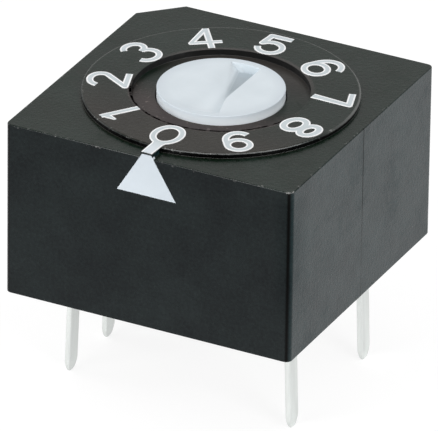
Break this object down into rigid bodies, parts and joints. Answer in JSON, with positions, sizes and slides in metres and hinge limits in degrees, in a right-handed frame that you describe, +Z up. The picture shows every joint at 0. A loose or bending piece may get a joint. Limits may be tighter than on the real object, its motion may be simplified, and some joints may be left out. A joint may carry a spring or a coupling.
{
  "type": "rotary coding switch",
  "caption": "Square board-mounted rotary coding switch: black case with a raised digit ring, white rotor with an arrow-shaped driver slot, and solder pins below.",
  "frame": {"origin": "centre of the seating plane, where the switch's flat underside meets the board; the rotor's axis passes through it", "axes": "+Z up along the rotor's axis, out of the dial; +X towards the row of two pins; -Y towards the front face with the index mark"},
  "size_m": [0.01, 0.01, 0.0099],
  "materials": {
    "case_plastic": "black moulded thermoplastic, matte with a fine grain",
    "mark_white": "white, smooth",
    "base_plastic": "black moulded thermoplastic",
    "sealing_resin": "cured sealing resin, slightly glossy",
    "rotor_white": "milky white moulded plastic, satin",
    "seal_rubber": "black rubber",
    "gold_contact": "gold-plated copper alloy",
    "steel": "turned steel",
    "spring_steel": "rolled spring steel strip",
    "tinned_terminal": "tin-plated brass, dull silver"
  },
  "bodies": {
    "case": {"housing": "case_plastic", "index_mark": "mark_white", "base": "base_plastic", "sealing_resin_left": "sealing_resin", "sealing_resin_right": "sealing_resin", "pivot_pin": "steel", "click_spring_left": "spring_steel", "click_spring_right": "spring_steel", "contact_spring_common": "gold_contact", "contact_spring_1": "gold_contact", "contact_spring_2": "gold_contact", "contact_spring_4": "gold_contact", "contact_spring_8": "gold_contact", "terminal_common": "tinned_terminal", "terminal_1": "tinned_terminal", "terminal_2": "tinned_terminal", "terminal_4": "tinned_terminal", "terminal_8": "tinned_terminal"},
    "rotor": {"rotor": "rotor_white", "o_ring": "seal_rubber", "code_plate": "gold_contact"}
  },
  "joints": [
    {"name": "rotor_turn", "type": "hinge", "parent": "case", "child": "rotor", "pos_m": [0, 0, 0], "axis": [0, 0, 1], "continuous": true, "deforming": ["click_spring_left", "click_spring_right"]}
  ]
}
